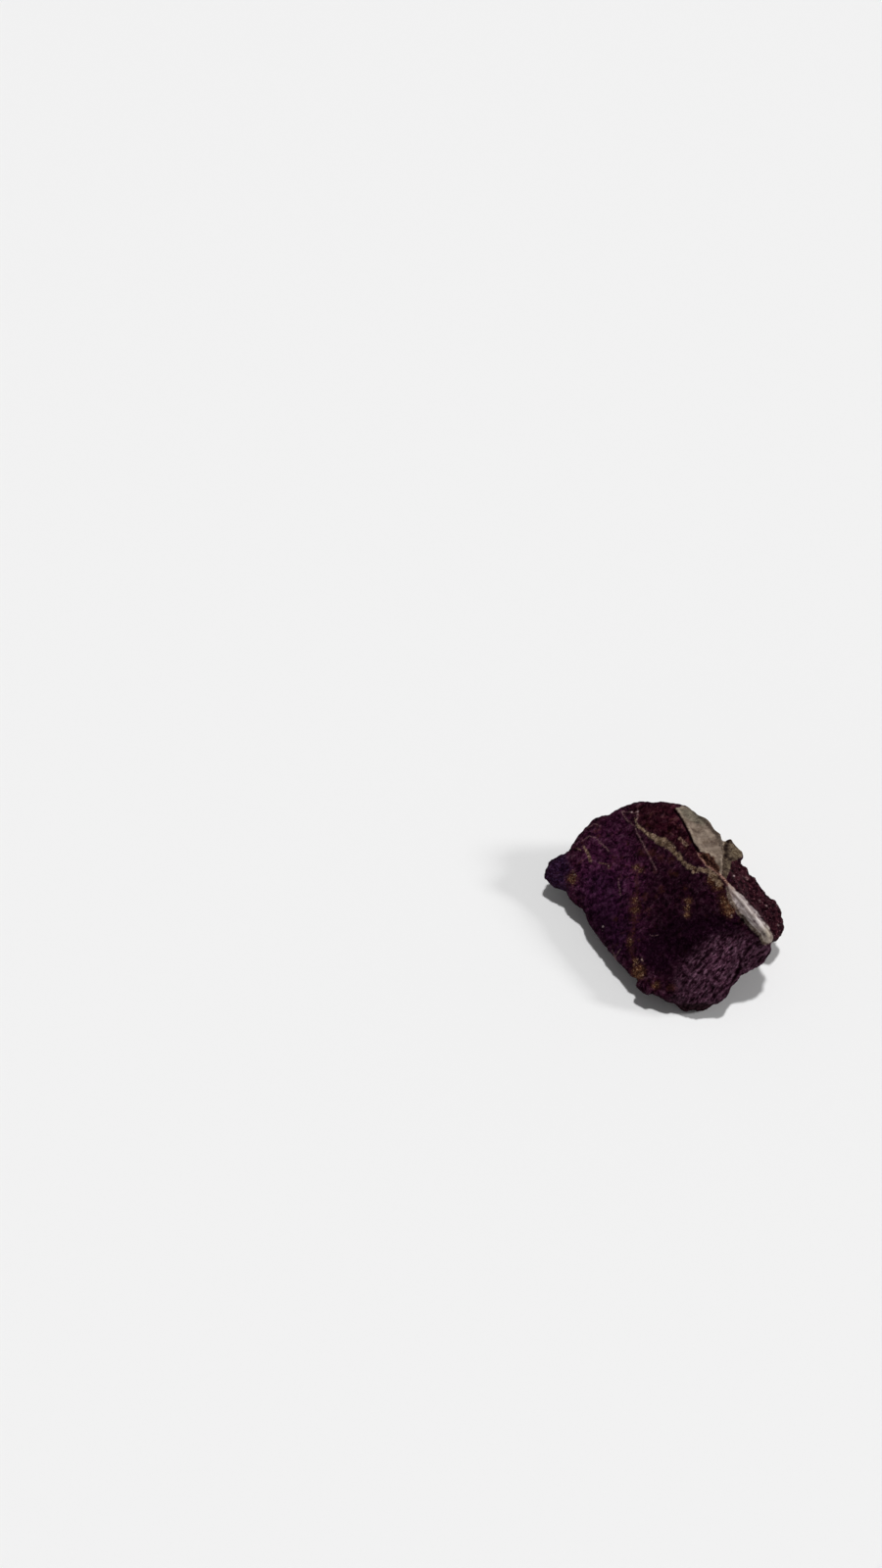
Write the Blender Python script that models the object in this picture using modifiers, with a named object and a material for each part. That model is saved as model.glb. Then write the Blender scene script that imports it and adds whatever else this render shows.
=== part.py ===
"""A rough specimen of purpurite: one broken stone with a vein of pale rock, lying on its flattest side.

Units are metres, +Z is up, and the origin is on the table at the middle of the stone's bounding box.
The stone is one solid. It is fused from a few angular blocks, each the convex hull of its corner points,
then weathered: chipped into small facets, roughened, scooped and cut flat where it stands on the table.
"""

import math

import bmesh
import bpy
from mathutils import Vector, noise

MM = 0.001

# Driving dimensions
SIGHT_ABOVE_TABLE = math.radians(52.5)  # tilt of the line of sight that seen corners are measured across
EYE_DISTANCE = 444 * MM  # how far from the stone the eye is
VOXEL = 0.5 * MM  # grain of the mesh that the blocks are fused into
TRIANGLES = 6400  # faces kept in the finished solid
FUSING_LOSS = 0.26 * MM  # how far the fused skin lies inside the blocks
BASE_SINK = 0.55 * MM  # how far the underside is ground down to give it flat feet
LEVELLING = 0.05 * MM  # how far the feet are ground again once the faces are reduced
MERGE = 0.02 * MM  # block corners closer than this become one
VEIN_ROUNDING = 2  # how finely the round section of the vein's crest is divided

# Weathering: the size of the chips and bumps, and how deep they go
BIG_CHIP, BIG_CHIP_DEPTH = 6.5 * MM, 0.80 * MM
SMALL_CHIP, SMALL_CHIP_DEPTH = 2.7 * MM, 0.36 * MM
SMALL_CHIP_SHIFT = Vector((0.013, 0.007, 0.003))
CHIP_STEP = 0.30  # share of a chip's size across which it steps to the next one
CHIP_SLANT = 1.1  # how steeply a chip's face may slant
CHIP_HEIGHT_SPREAD = 3.7  # keeps the heights of neighbouring chips unlike each other
CHIP_SLANT_SPREAD = 7.3  # keeps the slants of neighbouring chips unlike each other
SLANT_SEED = 5  # picks which way the chips slant, the same way in every build
BUMP, BUMP_DEPTH = 3.2 * MM, 0.26 * MM
BUMP_FADE = 0.8  # how fast the finer bumps get lower
BUMP_REFINING = 2.1  # how much smaller each finer layer of bumps is
BUMP_LAYERS = 3
HOLLOW_STEEPNESS = 2.0  # how sharply a worn hollow rises to its rim
EASING = 3  # smoothing passes that ease the steps of the fused skin
FOLD_EASING = 1  # smoothing passes that ease the folds between chips
EASING_SHARE = 0.5  # how far a smoothing pass moves each point towards its neighbours
TOP_CALM = 0.30  # share of the weathering that the smooth cleavage face on top keeps
CLEAVAGE_NORMAL = (-0.383, -0.236, 0.893)  # the way the cleavage face looks
CALM_DEPTH = 1.3 * MM  # how far below the cleavage face the calm reaches

STONE_COLOUR = (0.024, 0.007, 0.017)
STONE_ROUGHNESS = 0.62

# Corners of the blocks, in millimetres. A seen corner is (right, up, height): right and up are measured across
# the line of sight, and height is above the table. A hidden corner is (x, y, height).
MAIN_SEEN = [
    (-18.9, 2.3, 4.1), (-15.0, -0.4, 3.8), (-13.3, -5.0, 3.8), (-9.1, -10.2, 3.9), (-6.5, -13.1, 4.0),
    (-18.6, 9.6, 6.0), (-17.1, 13.0, 7.8), (-13.9, 16.4, 9.7), (-9.8, 17.7, 11.3), (-7.4, 19.2, 12.6),
    (-4.4, 19.8, 13.8), (-0.4, 19.9, 14.9), (1.5, 19.2, 15.3), (5.0, 13.6, 15.8), (7.6, 9.8, 15.8),
    (11.4, 3.6, 15.2), (13.0, -1.2, 14.0), (7.3, -2.3, 11.8), (2.3, -4.6, 9.3), (-2.6, -7.9, 6.7),
    (-7.0, 12.0, 11.0), (-5.4, 4.6, 9.2), (-6.0, -5.0, 6.8),
    (13.8, -5.0, 10.1), (8.8, -5.9, 9.1), (3.8, -8.6, 7.3), (0.5, -12.6, 5.2), (-1.5, -15.9, 3.6),
]
MAIN_HIDDEN = [
    (-15.0, 3.0, 1.2), (-12.5, -5.0, 0.4), (-6.0, -15.0, 0.2), (2.0, -19.0, 0.3), (12.0, -13.0, 0.0),
    (12.5, -2.0, 0.7), (7.0, 6.0, 0.4), (-1.0, 11.0, 0.0), (-9.5, 10.0, 0.7),
    (-12.5, 13.0, 5.0), (-2.0, 15.0, 6.5), (8.0, 9.5, 6.0), (15.0, -5.0, 6.0),
]
FRONT_SEEN = [
    (-6.1, -14.8, 4.0), (-4.6, -16.0, 3.8), (19.4, -6.9, 10.6), (19.6, -8.4, 9.7), (18.7, -10.2, 8.6),
    (13.4, -14.6, 6.0), (10.4, -17.7, 4.3), (8.2, -18.4, 3.5), (2.4, -17.8, 3.2), (-1.6, -16.8, 3.6),
    (4.2, -19.5, 0.0), (7.5, -19.7, 0.0),
]
FRONT_HIDDEN = [
    (12.0, -10.0, 11.6), (17.3, -14.3, 10.8), (4.0, -13.0, 8.7), (0.0, -16.5, 6.5), (-3.6, -19.0, 4.7),
    (-3.0, -19.0, 0.0), (12.0, -15.0, 0.0), (10.0, -5.0, 0.0), (15.6, -13.5, 4.0), (0.0, -10.0, 0.5),
]
PALE_PATCH_SEEN = [
    (1.7, 19.0, 14.6), (3.9, 18.6, 14.4), (5.7, 17.3, 14.2), (8.1, 15.7, 13.9),
    (10.0, 13.3, 13.7), (11.6, 9.4, 13.6), (8.6, 9.0, 15.2), (5.3, 12.8, 15.0),
]
PALE_PATCH_HIDDEN = [(2.0, 11.5, 4.0), (8.5, 6.5, 3.5), (11.0, -4.0, 5.0), (4.0, 0.0, 3.0)]
PALE_SHEET_SEEN = [
    (10.0, 8.4, 14.5), (12.0, 8.6, 13.3), (13.4, 4.4, 13.4), (15.2, 0.8, 13.2),
    (18.2, -3.4, 11.6), (19.6, -6.0, 10.2), (19.0, -7.2, 10.2), (17.0, -5.5, 11.2),
    (14.4, -1.6, 13.0), (12.4, 1.6, 14.1), (10.4, 5.6, 14.8),
]
PALE_SHEET_HIDDEN = [(9.0, 0.0, 3.0), (14.6, -8.0, 3.0), (15.6, -12.0, 5.0), (11.5, 4.5, 5.0)]
LEDGE_SEEN = [
    (12.0, 7.8, 12.2), (14.8, 7.6, 11.8), (15.0, 5.8, 11.0), (17.0, 3.6, 10.0), (20.9, -0.5, 7.6),
    (22.2, -3.7, 5.8), (21.8, -5.2, 5.2), (20.2, -6.8, 5.4), (17.6, -2.6, 9.4), (13.8, 3.6, 12.0),
]
LEDGE_HIDDEN = [(13.0, 1.0, 2.0), (17.0, -5.0, 1.8), (17.5, -9.5, 2.4), (11.0, -8.0, 3.0)]
KNOB_SEEN = [
    (10.2, 12.0, 13.6), (11.9, 12.8, 13.2), (13.5, 11.7, 12.6),
    (14.6, 9.8, 12.0), (13.4, 8.4, 12.8), (10.6, 9.0, 14.0),
]
KNOB_HIDDEN = [(9.0, 6.5, 6.0), (13.0, 3.5, 5.0)]
BUMP_SEEN = [
    (-22.8, 7.2, 5.4), (-22.3, 8.7, 6.0), (-22.8, 5.5, 4.2), (-22.0, 4.2, 3.4),
    (-20.9, 9.3, 6.2), (-18.4, 9.9, 6.4), (-18.4, 2.9, 4.2), (-20.9, 3.1, 3.0),
]
BUMP_HIDDEN = [(-19.0, 6.0, 1.8), (-14.0, 5.0, 1.0), (-14.0, 7.0, 6.4)]

# The crest of the pale vein where it stands proud along the brink: (right, up, height, half-width)
VEIN_CREST = [
    (9.8, 8.6, 14.4, 0.9), (11.4, 6.2, 14.1, 0.7), (12.6, 3.8, 13.9, 0.8), (14.0, 1.0, 13.4, 1.0),
    (15.8, -1.9, 12.4, 1.2), (17.5, -4.3, 11.3, 1.2), (19.0, -6.3, 10.3, 1.1),
]

# Hollows worn into the surface: (right, up, height, radius, depth)
HOLLOWS = [
    (8.6, -4.4, 10.4, 4.4, 0.9),  # the dark scoop under the brink of the top face
    (2.0, -9.0, 7.4, 3.4, 0.6),  # the shallower lower end of that scoop
    (9.4, 7.9, 15.0, 2.4, 0.5),  # the pit at the top of the pale vein
    (13.8, -14.6, 5.6, 3.0, 1.3),  # the bite out of the lower right rim
    (-15.9, -1.2, 3.4, 3.2, 0.8),  # the bite out of the rim under the left bump
    (5.4, 14.6, 15.0, 1.8, 0.3),  # the dip where the top meets the pale patch
]


def seen(right, up, height):
    """The place of a corner measured across the line of sight: where its ray from the eye is at that height."""
    tilt = (math.cos(SIGHT_ABOVE_TABLE), math.sin(SIGHT_ABOVE_TABLE))
    eye = Vector((0.0, -tilt[0], tilt[1])) * EYE_DISTANCE
    aim = Vector((right, up * tilt[1], up * tilt[0])) * MM
    return eye.lerp(aim, (eye.z - height * MM) / (eye.z - aim.z))


CLEAVAGE_POINT = seen(-5.4, 4.6, 8.6)


def block(name, seen_corners, hidden_corners):
    """A closed angular block: the convex hull of its corners."""
    shape = bmesh.new()
    for corner in seen_corners:
        shape.verts.new(seen(*corner))
    for corner in hidden_corners:
        shape.verts.new(Vector(corner) * MM)
    bmesh.ops.convex_hull(shape, input=shape.verts)
    inside = [vertex for vertex in shape.verts if not vertex.link_faces]
    bmesh.ops.delete(shape, geom=inside, context="VERTS")
    bmesh.ops.recalc_face_normals(shape, faces=shape.faces)
    mesh = bpy.data.meshes.new(name)
    shape.to_mesh(mesh)
    shape.free()
    return mesh


def vein_ridge():
    """The proud crest of the pale vein, as a tapering tube whose lower half lies in the stone."""
    curve = bpy.data.curves.new("vein_crest", "CURVE")
    curve.dimensions = "3D"
    curve.bevel_depth = MM
    curve.bevel_resolution = VEIN_ROUNDING
    curve.use_fill_caps = True
    line = curve.splines.new("POLY")
    line.points.add(len(VEIN_CREST) - 1)
    for point, (right, up, height, half_width) in zip(line.points, VEIN_CREST):
        point.co = (*seen(right, up, height), 1.0)
        point.radius = half_width
    tube = bpy.data.objects.new("vein_crest", curve)
    bpy.context.scene.collection.objects.link(tube)
    bpy.context.view_layer.update()
    mesh = bpy.data.meshes.new_from_object(tube.evaluated_get(bpy.context.evaluated_depsgraph_get()))
    bpy.data.objects.remove(tube)
    return mesh


def remade(mesh, modifier_type, **settings):
    """The mesh after one modifier."""
    holder = bpy.data.objects.new("holder", mesh)
    bpy.context.scene.collection.objects.link(holder)
    modifier = holder.modifiers.new("step", modifier_type)
    for name, value in settings.items():
        setattr(modifier, name, value)
    bpy.context.view_layer.update()
    result = bpy.data.meshes.new_from_object(holder.evaluated_get(bpy.context.evaluated_depsgraph_get()))
    bpy.data.objects.remove(holder)
    bpy.data.meshes.remove(mesh)
    return result


def drop_loose(mesh):
    """Removes every loose bit but the largest."""
    shape = bmesh.new()
    shape.from_mesh(mesh)
    unreached = set(shape.verts)
    bodies = []
    while unreached:
        body = set()
        front = {unreached.pop()}
        while front:
            body |= front
            front = {edge.other_vert(vertex) for vertex in front for edge in vertex.link_edges} - body
        unreached -= body
        bodies.append(body)
    bodies.sort(key=len)
    loose = [vertex for body in bodies[:-1] for vertex in body]
    bmesh.ops.delete(shape, geom=loose, context="VERTS")
    shape.to_mesh(mesh)
    shape.free()


def fused(meshes):
    """One closed skin round all the blocks, with an even grain."""
    shape = bmesh.new()
    for mesh in meshes:
        shape.from_mesh(mesh)
        bpy.data.meshes.remove(mesh)
    bmesh.ops.remove_doubles(shape, verts=shape.verts, dist=MERGE)
    joined = bpy.data.meshes.new("blocks")
    shape.to_mesh(joined)
    shape.free()
    skin = remade(joined, "REMESH", mode="VOXEL", voxel_size=VOXEL)
    drop_loose(skin)
    return remade(skin, "SMOOTH", factor=EASING_SHARE, iterations=EASING)


def facet(where, centre):
    """The height of one chip's slanted flat face."""
    height = noise.noise(centre * CHIP_HEIGHT_SPREAD)
    slant = noise.noise_vector(centre * CHIP_SLANT_SPREAD)
    return height + CHIP_SLANT * (where - centre).dot(slant)


def chips(place, size):
    """Flat facets, each with its own depth and slant, with a short step half way down between neighbours."""
    where = place / size
    reaches, centres = noise.voronoi(where)
    near = facet(where, centres[0])
    beside = facet(where, centres[1])
    return near + (beside - near) / 2 * max(0.0, 1.0 - (reaches[1] - reaches[0]) / CHIP_STEP)


def calm(place):
    """The share of the weathering that a place keeps: less on the smooth cleavage face."""
    below = (CLEAVAGE_POINT - place).dot(Vector(CLEAVAGE_NORMAL)) / CALM_DEPTH
    return TOP_CALM + (1.0 - TOP_CALM) * max(0.0, min(1.0, below))


def weathering(place):
    """How far a place is pushed out: large chips, small chips and bumps, less the hollows."""
    big = BIG_CHIP_DEPTH * chips(place, BIG_CHIP)
    small = SMALL_CHIP_DEPTH * chips(place + SMALL_CHIP_SHIFT, SMALL_CHIP)
    bumps = BUMP_DEPTH * noise.fractal(place / BUMP, BUMP_FADE, BUMP_REFINING, BUMP_LAYERS)
    return FUSING_LOSS + calm(place) * (big + small + bumps) - hollow_depth(place)


def hollow_depth(place):
    """How far the worn hollows sink the surface at a place."""
    sunk = 0.0
    for right, up, height, radius, depth in HOLLOWS:
        reach = (place - seen(right, up, height)).length / (radius * MM)
        sunk += depth * MM * math.exp(-HOLLOW_STEEPNESS * reach * reach)
    return sunk


def weathered(mesh):
    """Moves each vertex along its normal by the weathering, and eases the folds that this leaves."""
    normals = [vertex.normal.copy() for vertex in mesh.vertices]
    for vertex, normal in zip(mesh.vertices, normals):
        vertex.co += normal * weathering(vertex.co)
    return remade(mesh, "SMOOTH", factor=EASING_SHARE, iterations=FOLD_EASING)


def ground_flat(mesh, depth):
    """Grinds the underside flat, up to this depth above its lowest point."""
    floor = min(vertex.co.z for vertex in mesh.vertices) + depth
    for vertex in mesh.vertices:
        vertex.co.z = max(vertex.co.z, floor)


def stand_on_table(mesh):
    """Puts the origin on the table, under the middle of the stone's box."""
    lows = [min(vertex.co[axis] for vertex in mesh.vertices) for axis in range(3)]
    highs = [max(vertex.co[axis] for vertex in mesh.vertices) for axis in range(3)]
    middle = Vector(((lows[0] + highs[0]) / 2, (lows[1] + highs[1]) / 2, lows[2]))
    for vertex in mesh.vertices:
        vertex.co -= middle


def stone_material():
    """Dark purple broken stone."""
    material = bpy.data.materials.new("purpurite")
    material.use_nodes = True
    shader = material.node_tree.nodes["Principled BSDF"]
    shader.inputs["Base Color"].default_value = (*STONE_COLOUR, 1.0)
    shader.inputs["Roughness"].default_value = STONE_ROUGHNESS
    return material


def build_stone(collection):
    """The finished stone: the blocks fused, weathered, ground flat below and reduced to plain faces."""
    blocks = [
        block("main_block", MAIN_SEEN, MAIN_HIDDEN),
        block("front_block", FRONT_SEEN, FRONT_HIDDEN),
        block("pale_patch", PALE_PATCH_SEEN, PALE_PATCH_HIDDEN),
        block("pale_sheet", PALE_SHEET_SEEN, PALE_SHEET_HIDDEN),
        block("ledge_block", LEDGE_SEEN, LEDGE_HIDDEN),
        block("back_knob", KNOB_SEEN, KNOB_HIDDEN),
        block("left_bump", BUMP_SEEN, BUMP_HIDDEN),
        vein_ridge(),
    ]
    mesh = weathered(fused(blocks))
    ground_flat(mesh, BASE_SINK)
    mesh.calc_loop_triangles()
    mesh = remade(mesh, "DECIMATE", ratio=TRIANGLES / len(mesh.loop_triangles))
    ground_flat(mesh, LEVELLING)
    stand_on_table(mesh)
    mesh.name = "purpurite_stone"
    mesh.materials.append(stone_material())
    stone = bpy.data.objects.new("purpurite_stone", mesh)
    collection.objects.link(stone)
    return stone


def main():
    """Empties the scene and builds the specimen in a collection of its own."""
    for old in list(bpy.data.objects):
        bpy.data.objects.remove(old)
    noise.seed_set(SLANT_SEED)
    specimen = bpy.data.collections.new("purpurite_specimen")
    bpy.context.scene.collection.children.link(specimen)
    build_stone(specimen)


main()
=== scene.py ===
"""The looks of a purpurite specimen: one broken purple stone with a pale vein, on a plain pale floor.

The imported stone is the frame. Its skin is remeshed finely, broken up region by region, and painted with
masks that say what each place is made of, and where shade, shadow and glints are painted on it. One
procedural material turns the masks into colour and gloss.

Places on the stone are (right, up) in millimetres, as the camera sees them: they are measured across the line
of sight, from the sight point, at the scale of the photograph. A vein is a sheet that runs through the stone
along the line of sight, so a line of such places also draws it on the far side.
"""
import math

import bpy
import numpy as np
from mathutils import Matrix, Vector, noise


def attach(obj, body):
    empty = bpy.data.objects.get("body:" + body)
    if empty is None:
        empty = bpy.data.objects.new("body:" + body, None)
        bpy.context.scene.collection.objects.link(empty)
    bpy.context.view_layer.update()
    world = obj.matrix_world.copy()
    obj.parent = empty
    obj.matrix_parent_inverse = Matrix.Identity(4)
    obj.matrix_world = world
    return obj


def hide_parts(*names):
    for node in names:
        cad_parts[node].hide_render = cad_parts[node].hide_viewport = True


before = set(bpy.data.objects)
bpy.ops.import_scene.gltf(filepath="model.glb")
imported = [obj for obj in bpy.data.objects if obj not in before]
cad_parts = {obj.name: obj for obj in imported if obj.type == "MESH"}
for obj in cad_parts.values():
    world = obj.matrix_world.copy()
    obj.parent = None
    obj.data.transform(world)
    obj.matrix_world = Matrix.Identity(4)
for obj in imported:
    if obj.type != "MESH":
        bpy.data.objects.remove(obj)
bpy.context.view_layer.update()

MM = 0.001

# The camera, as the photograph was taken
PHOTO_WIDTH, PHOTO_HEIGHT = 900, 1600
FOCAL_PIXELS = 2400
SENSOR_MM = 36
SIGHT_TILT = math.radians(52.5)  # the line of sight's angle above the table
TO_EYE = (0.0, -math.cos(SIGHT_TILT), math.sin(SIGHT_TILT))
SIGHT_PIXEL = (680, 925)  # where the sight point is in the photograph
MM_PER_PIXEL = 0.185
EYE_DISTANCE = FOCAL_PIXELS * MM_PER_PIXEL * MM
SIGHT_POINT = Vector((0.74, 4.90, 0.23)) * MM
NEAREST_SEEN = 0.01  # the camera shows nothing nearer than this

# The skin
GRAIN = 0.24 * MM  # size of the fine skin's faces
SMOOTHING = 4
CLEAVAGE_NORMAL = Vector((-0.383, -0.236, 0.893))
GRAIN_ALONG = Vector((0.68, 0.73))  # the way the crumbly face is streaked, as (right, up)
SLANT_SEED = 5  # picks which way the chips slant, the same way in every run

# The stone's features. A closed outline is made of (right, up), a line of (right, up) or of
# (right, up, half-width), and a disc is (right, up, radius)
MAIN_VEIN = [
    (-5.7, 16.2, 0.18), (-5.1, 14.8, 0.24), (-4.1, 14.2, 0.24), (-2.7, 13.2, 0.44), (-0.9, 12.3, 0.75),
    (0.8, 11.2, 0.60), (1.9, 9.9, 0.50), (3.0, 8.6, 0.40), (4.3, 7.5, 0.42), (5.2, 6.9, 0.55),
    (6.9, 6.8, 0.30), (8.1, 6.6, 0.55), (9.3, 5.3, 0.70), (10.1, 4.2, 0.45),
]
STREAKS = [
    [(-8.4, 17.8, 0.12), (-7.4, 16.3, 0.13), (-6.0, 15.2, 0.07), (-5.6, 14.2, 0.10), (-4.9, 12.7, 0.14),
     (-4.2, 11.4, 0.17), (-3.1, 9.4, 0.15), (-1.9, 6.8, 0.10)],
    [(-8.3, 17.9, 0.16), (-7.4, 17.8, 0.06), (-6.6, 17.8, 0.20), (-6.0, 17.6, 0.05), (-5.4, 18.1, 0.18),
     (-5.5, 16.6, 0.18), (-5.7, 16.1, 0.05), (-5.2, 15.2, 0.16), (-4.4, 14.3, 0.24)],
    [(-15.9, 12.3, 0.07), (-14.6, 13.2, 0.09), (-13.2, 13.0, 0.08), (-12.2, 12.0, 0.06)],
    [(-14.9, 14.8, 0.06), (-13.6, 15.6, 0.08), (-12.4, 15.2, 0.06)],
    [(17.4, 1.3, 0.12), (17.7, 0.9, 0.14)],
    [(18.8, 0.4, 0.10), (19.1, 0.0, 0.12)],
    [(20.9, -3.4, 0.12), (21.1, -3.5, 0.12)],
    [(10.4, 9.4, 0.14), (10.5, 6.7, 0.14)],
    [(-12.8, 12.2, 0.10), (-11.8, 11.4, 0.15), (-10.8, 10.5, 0.14)],
    [(-9.1, 5.4, 0.06), (-8.7, 2.2, 0.09)],
    [(-10.2, -8.4, 0.09), (-9.3, -10.4, 0.10)],
    [(-8.7, -8.0, 0.07), (-9.6, -9.6, 0.07)],
    [(-3.2, -5.3, 0.01), (-2.4, -5.6, 0.03), (-1.6, -5.4, 0.0)],
    [(12.7, 5.8, 0.16), (12.9, 5.8, 0.16)],
    [(14.4, 5.8, 0.10), (15.3, 5.1, 0.14)],
]
ROSY_LINE = [
    (5.6, 10.5, 0.08), (6.6, 9.1, 0.14), (7.6, 7.7, 0.20), (9.0, 7.0, 0.24), (10.0, 6.1, 0.20),
    (11.0, 5.0, 0.26), (12.2, 3.4, 0.28), (13.0, 2.2, 0.16),
]
TAN_STREAKS = [
    [(-15.6, 11.4, 0.20), (-14.9, 10.2, 0.26), (-14.3, 8.6, 0.28)],
    [(-12.7, 8.2, 0.13), (-11.6, 8.0, 0.14), (-11.0, 7.9, 0.10), (-10.9, 7.2, 0.12)],
    [(-17.7, 6.8, 0.12), (-17.4, 5.8, 0.16)],
    [(-17.0, 11.0, 0.10), (-16.2, 10.6, 0.12)],
    [(2.5, 12.9, 0.28), (3.8, 11.6, 0.34)],
    [(4.1, 1.4, 0.14), (3.9, -0.1, 0.14), (3.5, -2.0, 0.14)],
    [(12.4, -1.2, 0.20), (12.2, -1.9, 0.24)],
    [(-4.7, -9.8, 0.16), (-4.5, -10.3, 0.16)],
]
PALE_PATCH = [
    (1.7, 18.6), (3.2, 19.0), (6.2, 18.2), (8.6, 16.5), (10.6, 14.0), (11.3, 12.4), (10.9, 9.6),
    (10.4, 5.6), (9.4, 8.4), (8.2, 9.9), (6.4, 10.3), (5.4, 11.8), (4.1, 14.8), (3.0, 16.4),
]
BACK_CRUMB = [
    (10.9, 12.6), (12.2, 12.9), (13.7, 11.7), (14.6, 9.7), (13.6, 8.8), (12.3, 8.5), (11.9, 6.6),
    (11.2, 5.2), (10.6, 5.6), (10.7, 9.4),
]
# Where the top is darkened with painted shade
SHADE_AREA = [
    (-4.0, 8.0), (3.0, 6.0), (8.0, 2.0), (13.0, -2.0), (2.0, -5.0), (-3.0, -9.0), (-5.0, -13.0),
    (-9.0, -9.0), (-11.0, -5.0), (-8.0, -3.0), (-4.8, 0.0),
]
STRIP = [
    (11.6, 4.2, 0.12), (12.4, 3.0, 0.60), (13.5, 1.4, 1.05), (14.9, -0.3, 1.20), (16.2, -1.9, 1.20),
    (17.5, -3.3, 1.05), (18.7, -4.7, 1.00), (19.2, -6.0, 0.90),
]
STRIP_RIDGE = [(11.0, 5.2), (12.6, 3.2), (14.6, 0.6), (16.5, -1.7), (18.2, -3.9), (19.3, -5.4)]
LEDGE = [
    (11.6, 8.6), (15.0, 8.6), (16.2, 5.8), (18.4, 3.4), (22.2, -0.6), (23.4, -4.0), (21.0, -7.2),
    (19.9, -6.4), (12.4, 3.9),
]
CRUMBLY = [
    (18.9, -6.6), (14.0, -5.0), (9.2, -5.6), (6.2, -7.6), (3.8, -9.9), (2.2, -12.6), (1.6, -15.2),
    (1.2, -18.6), (2.4, -22.0), (9.0, -22.0), (16.0, -14.6), (21.0, -10.6), (20.6, -7.2),
]
# The hollow between the top and the crumbly face, darkened with painted shade
SHADED_SCOOP = [
    (13.4, -2.0), (8.0, -1.2), (2.0, -2.2), (-2.0, -4.0), (-4.6, -7.4), (-4.6, -12.0), (0.0, -12.8),
    (3.4, -9.6), (9.6, -5.9), (14.0, -5.2),
]
# The underside where it reaches the floor, darkened with painted shade
FOOT = [(1.4, -18.6), (3.4, -18.4), (8.8, -18.4), (9.4, -19.4), (7.6, -22.0), (2.4, -22.0)]
VIOLET = [
    (-14.5, 13.5), (-8.5, 18.0), (-6.6, 12.0), (-3.6, 6.0), (-4.6, 0.0), (-3.0, -9.0), (-9.0, -9.5),
    (-14.0, -2.0), (-16.4, 2.0), (-17.0, 6.0), (-16.0, 9.0),
]
MAROON = [
    (-7.0, 19.0), (-5.2, 15.6), (-2.6, 13.8), (1.0, 12.0), (3.8, 9.0), (7.0, 7.6), (8.4, 10.4), (5.2, 12.2),
    (1.6, 19.6),
]
BLUE_BUMP = [(-24.0, 9.4), (-19.4, 10.8), (-18.0, 7.0), (-18.6, 2.4), (-24.0, 2.4)]
BROWN_PIT = [(6.3, 9.8), (7.4, 10.1), (9.0, 9.4), (9.9, 7.6), (9.9, 6.2), (8.8, 7.2), (7.4, 8.0)]
# A thin line of painted shadow where the top's edge stands above the patch, also sunk a little
SHADOW_GROOVE = [(1.5, 18.3), (2.9, 16.6), (3.9, 14.5), (4.9, 12.2), (5.9, 10.4)]
OCHRE_SPOTS = [
    (-17.8, 5.3, 0.75), (-17.5, 6.3, 0.25), (-5.9, 7.4, 0.30), (-5.0, 6.7, 0.35), (-6.0, 1.0, 0.45),
    (-5.8, -0.6, 0.50), (-5.1, -12.4, 0.95), (-5.7, -10.6, 0.30), (-2.0, -14.8, 0.40), (4.2, 1.0, 0.45),
    (3.9, -0.3, 0.40), (3.9, -1.6, 0.40), (11.2, 0.4, 0.90), (11.7, -0.9, 0.70), (10.6, 1.4, 0.45),
    (8.6, 4.9, 0.65), (9.8, 3.6, 0.60), (-6.9, -6.8, 0.35),
]
STAINS = [
    (-17.8, 5.3, 1.2), (-5.4, 7.0, 1.1), (-6.0, 1.0, 1.0), (-5.8, -0.6, 1.1), (-6.0, -2.4, 0.8),
    (-7.0, -6.8, 0.8), (-6.7, -8.2, 0.6), (-5.1, -12.4, 1.5), (-2.0, -14.8, 0.9), (1.2, -15.3, 0.6),
    (4.1, 1.0, 0.8), (3.9, -0.3, 0.7), (3.9, -1.6, 0.6), (11.3, 0.4, 1.5), (11.8, -0.9, 1.2),
    (10.6, 1.6, 0.9), (8.6, 4.9, 1.1), (9.8, 3.6, 1.1), (-4.6, 10.3, 0.6), (-2.7, 10.1, 0.8),
    (-1.0, 9.2, 0.6), (0.9, 8.9, 0.5), (-4.0, 2.0, 0.5), (-1.0, 3.2, 0.4), (-3.6, -0.6, 0.4),
    (-10.9, 7.7, 0.4), (0.8, 6.4, 0.4), (-9.6, -2.4, 0.3), (3.6, 3.5, 0.4),
]
STAIN_TRAIL = [
    (-5.5, 7.0), (-5.7, 4.0), (-6.0, 1.0), (-6.0, -2.6), (-6.9, -7.0), (-6.0, -10.5), (-5.0, -12.6),
]
GREY = [(1.7, 18.8), (5.5, 18.4), (7.9, 16.3), (6.6, 15.4), (5.0, 16.0), (3.4, 16.8)]
PATCH_RIM = [(5.2, 17.8, 0.15), (7.1, 16.6, 0.38), (8.7, 14.8, 0.50), (10.1, 12.8, 0.42), (10.8, 10.6, 0.25)]
# Painted glints: small pale highlights laid into the colour
GLINTS = [
    (-12.0, -3.8, 0.17), (-12.1, -4.5, 0.04), (12.8, 5.8, 0.13), (17.6, 1.2, 0.09), (18.9, 0.2, 0.08),
    (21.0, -3.5, 0.08), (-6.5, 17.8, 0.13), (-5.4, 17.9, 0.11), (-17.4, 6.0, 0.12), (-10.9, 7.6, 0.10),
    (-4.6, -10.0, 0.12), (12.3, -1.7, 0.13),
]
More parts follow.
